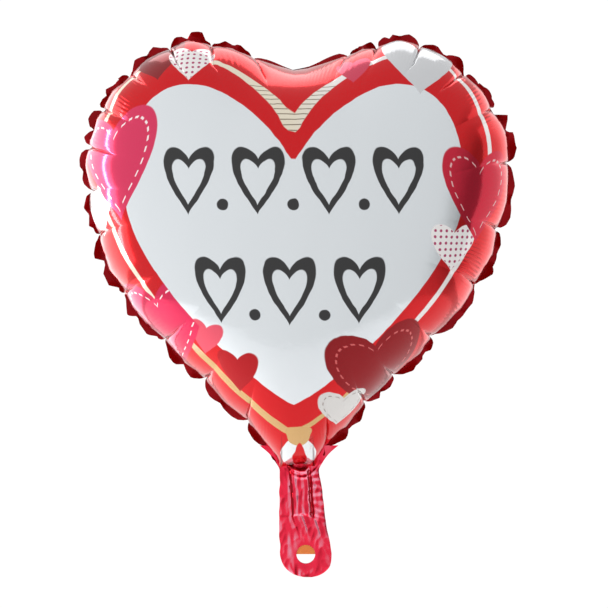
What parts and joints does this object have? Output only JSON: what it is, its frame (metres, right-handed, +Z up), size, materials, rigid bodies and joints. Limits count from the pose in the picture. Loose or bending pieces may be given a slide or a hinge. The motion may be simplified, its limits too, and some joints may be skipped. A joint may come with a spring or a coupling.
{
  "type": "foil balloon",
  "caption": "Inflated heart-shaped foil balloon with a ruffled fused hem, a folding filling tail with a round hole and inner self-sealing valve films.",
  "frame": {"origin": "tie point at the neck, where the filling tail leaves the tip of the heart, midway between the films", "axes": "+Z up through the heart, -Y out of the printed front, +X to the right seen from the front"},
  "size_m": [0.376, 0.18, 0.4576],
  "materials": {
    "front_foil": "printed metallised film, glossy",
    "back_foil": "printed metallised film, glossy",
    "seal_foil": "fused metallised film, glossy",
    "tail_foil": "metallised film, glossy",
    "valve_ink_film": "film with heat-resist ink",
    "valve_film": "clear soft film"
  },
  "bodies": {
    "balloon": {"front_panel": "front_foil", "back_panel": "back_foil", "edge_seal": "seal_foil", "valve_neck_front_film": "valve_film", "valve_neck_back_film": "valve_film"},
    "tail": {"tail_front_film": "tail_foil", "tail_back_film": "tail_foil", "valve_channel_front_film": "valve_film", "valve_channel_back_film": "valve_film"},
    "tail_tip": {"tail_tip_front_film": "tail_foil", "tail_tip_back_film": "tail_foil", "valve_inlet_front_film": "valve_ink_film", "valve_inlet_back_film": "valve_ink_film"},
    "valve_flap": {"valve_flap_front_film": "valve_film", "valve_flap_back_film": "valve_film"}
  },
  "joints": [
    {"name": "tail_root_fold", "type": "hinge", "parent": "balloon", "child": "tail", "pos_m": [0, 0, 0], "axis": [-1, 0, 0], "range_deg": [-90, 90]},
    {"name": "tail_mid_fold", "type": "hinge", "parent": "tail", "child": "tail_tip", "pos_m": [0, 0, -0.04], "axis": [-1, 0, 0], "range_deg": [-75, 75]},
    {"name": "valve_flap_bend", "type": "hinge", "parent": "balloon", "child": "valve_flap", "pos_m": [0, 0, 0.045], "axis": [1, 0, 0], "range_deg": [-12, 12], "stiffness_Nm_per_rad": 0.0004}
  ]
}
